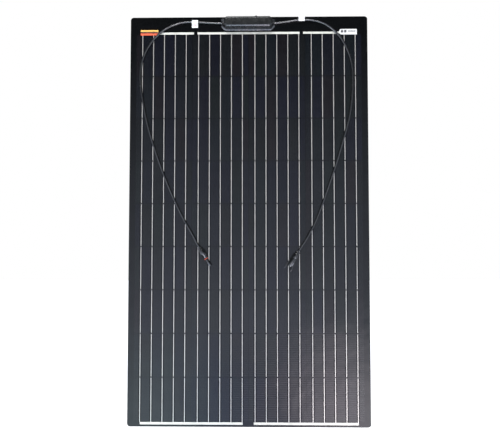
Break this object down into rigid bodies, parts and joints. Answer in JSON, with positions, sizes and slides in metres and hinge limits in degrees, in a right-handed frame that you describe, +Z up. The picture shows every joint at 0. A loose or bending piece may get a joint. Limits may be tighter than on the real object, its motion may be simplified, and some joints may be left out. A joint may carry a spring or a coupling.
{
  "type": "flexible solar sheet",
  "caption": "Thin black laminated solar sheet that bends about its width, with a junction box on the front top edge and two leads that end in couplers.",
  "frame": {"origin": "on the back of the sheet, behind the middle of the fifth row of cells", "axes": "+Z up the sheet towards the junction box, +Y out of the back, +X to the right as the front is seen"},
  "size_m": [0.664, 0.0218, 1.1351],
  "materials": {
    "backsheet": "satin black glass-fibre board",
    "cells": "dark blue-black silicon cells with fine grid lines",
    "front_film": "clear textured film over black encapsulant",
    "tinned_ribbon": "tinned copper strip, dull silver",
    "box_plastic": "fine-grained satin black",
    "gasket_rubber": "matt black rubber",
    "potting_resin": "glossy black resin",
    "sealant": "glossy black silicone",
    "cable_jacket": "satin black cable jacket",
    "coupler_plastic": "satin black moulding",
    "o_ring_rubber": "red-orange silicone rubber",
    "contact_metal": "tin plated",
    "white_tape": "matt white paper tape",
    "colour_label": "printed label in yellow and orange bands",
    "white_label": "white label with plain dark bars"
  },
  "bodies": {
    "row_1": {"backsheet_1": "backsheet", "cell_row_1": "cells", "front_film_1": "front_film", "bus_ribbon_top_left": "tinned_ribbon", "bus_ribbon_top_middle": "tinned_ribbon", "bus_ribbon_top_right": "tinned_ribbon", "junction_box_base": "box_plastic", "lid_gasket": "gasket_rubber", "potting": "potting_resin", "terminal_positive": "tinned_ribbon", "terminal_middle": "tinned_ribbon", "terminal_negative": "tinned_ribbon", "bypass_diode_left": "box_plastic", "bypass_diode_right": "box_plastic", "sealant_bead": "sealant", "strain_relief_left": "gasket_rubber", "strain_relief_right": "gasket_rubber", "lead_left": "cable_jacket", "lead_right": "cable_jacket", "tape_left": "white_tape", "tape_right": "white_tape", "label_left": "colour_label", "label_right": "white_label", "rear_label": "white_label"},
    "row_2": {"backsheet_2": "backsheet", "cell_row_2": "cells", "front_film_2": "front_film"},
    "row_3": {"backsheet_3": "backsheet", "cell_row_3": "cells", "front_film_3": "front_film"},
    "row_4": {"backsheet_4": "backsheet", "cell_row_4": "cells", "front_film_4": "front_film"},
    "row_5": {"backsheet_5": "backsheet", "cell_row_5": "cells", "front_film_5": "front_film"},
    "row_6": {"backsheet_6": "backsheet", "cell_row_6": "cells", "front_film_6": "front_film", "coupler_left_housing": "coupler_plastic", "coupler_left_o_ring": "o_ring_rubber", "coupler_left_contact": "contact_metal", "coupler_right_housing": "coupler_plastic", "coupler_right_pin": "contact_metal"},
    "row_7": {"backsheet_7": "backsheet", "cell_row_7": "cells", "front_film_7": "front_film"},
    "row_8": {"backsheet_8": "backsheet", "cell_row_8": "cells", "front_film_8": "front_film"},
    "row_9": {"backsheet_9": "backsheet", "cell_row_9": "cells", "front_film_9": "front_film", "bus_ribbon_bottom_left": "tinned_ribbon", "bus_ribbon_bottom_right": "tinned_ribbon"},
    "lid": {"junction_box_lid": "box_plastic"},
    "left_nut": {"coupler_left_nut": "coupler_plastic"},
    "right_nut": {"coupler_right_nut": "coupler_plastic"},
    "latch_upper": {"coupler_right_latch_upper": "coupler_plastic"},
    "latch_lower": {"coupler_right_latch_lower": "coupler_plastic"}
  },
  "joints": [
    {"name": "sheet_bend", "type": "hinge", "parent": "row_5", "child": "row_4", "pos_m": [0, -0.00125, 0.0595], "axis": [1, 0, 0], "range_deg": [-3.75, 3.75], "stiffness_Nm_per_rad": 60, "deforming": ["lead_left", "lead_right"]},
    {"name": "bend_row_3", "type": "hinge", "parent": "row_4", "child": "row_3", "pos_m": [0, -0.00125, 0.1785], "axis": [1, 0, 0], "range_deg": [-3.75, 3.75], "stiffness_Nm_per_rad": 60},
    {"name": "bend_row_2", "type": "hinge", "parent": "row_3", "child": "row_2", "pos_m": [0, -0.00125, 0.2975], "axis": [1, 0, 0], "range_deg": [-3.75, 3.75], "stiffness_Nm_per_rad": 60},
    {"name": "bend_row_1", "type": "hinge", "parent": "row_2", "child": "row_1", "pos_m": [0, -0.00125, 0.4165], "axis": [1, 0, 0], "range_deg": [-3.75, 3.75], "stiffness_Nm_per_rad": 60},
    {"name": "bend_row_6", "type": "hinge", "parent": "row_5", "child": "row_6", "pos_m": [0, -0.00125, -0.0595], "axis": [-1, 0, 0], "range_deg": [-3.75, 3.75], "stiffness_Nm_per_rad": 60},
    {"name": "bend_row_7", "type": "hinge", "parent": "row_6", "child": "row_7", "pos_m": [0, -0.00125, -0.1785], "axis": [-1, 0, 0], "range_deg": [-3.75, 3.75], "stiffness_Nm_per_rad": 60},
    {"name": "bend_row_8", "type": "hinge", "parent": "row_7", "child": "row_8", "pos_m": [0, -0.00125, -0.2975], "axis": [-1, 0, 0], "range_deg": [-3.75, 3.75], "stiffness_Nm_per_rad": 60},
    {"name": "bend_row_9", "type": "hinge", "parent": "row_8", "child": "row_9", "pos_m": [0, -0.00125, -0.4165], "axis": [-1, 0, 0], "range_deg": [-3.75, 3.75], "stiffness_Nm_per_rad": 60},
    {"name": "lid_pull", "type": "slide", "parent": "row_1", "child": "lid", "axis": [0, -1, 0], "range_m": [0, 0.025]},
    {"name": "left_nut_turn", "type": "hinge", "parent": "row_6", "child": "left_nut", "pos_m": [-0.1348, -0.0121, -0.0626], "axis": [0.5293, 0, -0.8484], "continuous": true},
    {"name": "right_nut_turn", "type": "hinge", "parent": "row_6", "child": "right_nut", "pos_m": [0.136, -0.0121, -0.074], "axis": [-0.5269, 0, -0.8499], "continuous": true},
    {"name": "latch_upper_press", "type": "hinge", "parent": "row_6", "child": "latch_upper", "pos_m": [0.1121, -0.0121, -0.09566], "axis": [0, -1, 0], "range_deg": [0, 5], "stiffness_Nm_per_rad": 0.25},
    {"name": "latch_lower_press", "type": "hinge", "parent": "row_6", "child": "latch_lower", "pos_m": [0.12723, -0.0121, -0.10504], "axis": [0, 1, 0], "range_deg": [0, 5], "stiffness_Nm_per_rad": 0.25}
  ],
  "couplings": [
    {"joint": "bend_row_3", "follows": "sheet_bend", "ratio": 1},
    {"joint": "bend_row_2", "follows": "sheet_bend", "ratio": 1},
    {"joint": "bend_row_1", "follows": "sheet_bend", "ratio": 1},
    {"joint": "bend_row_6", "follows": "sheet_bend", "ratio": 1},
    {"joint": "bend_row_7", "follows": "sheet_bend", "ratio": 1},
    {"joint": "bend_row_8", "follows": "sheet_bend", "ratio": 1},
    {"joint": "bend_row_9", "follows": "sheet_bend", "ratio": 1}
  ]
}
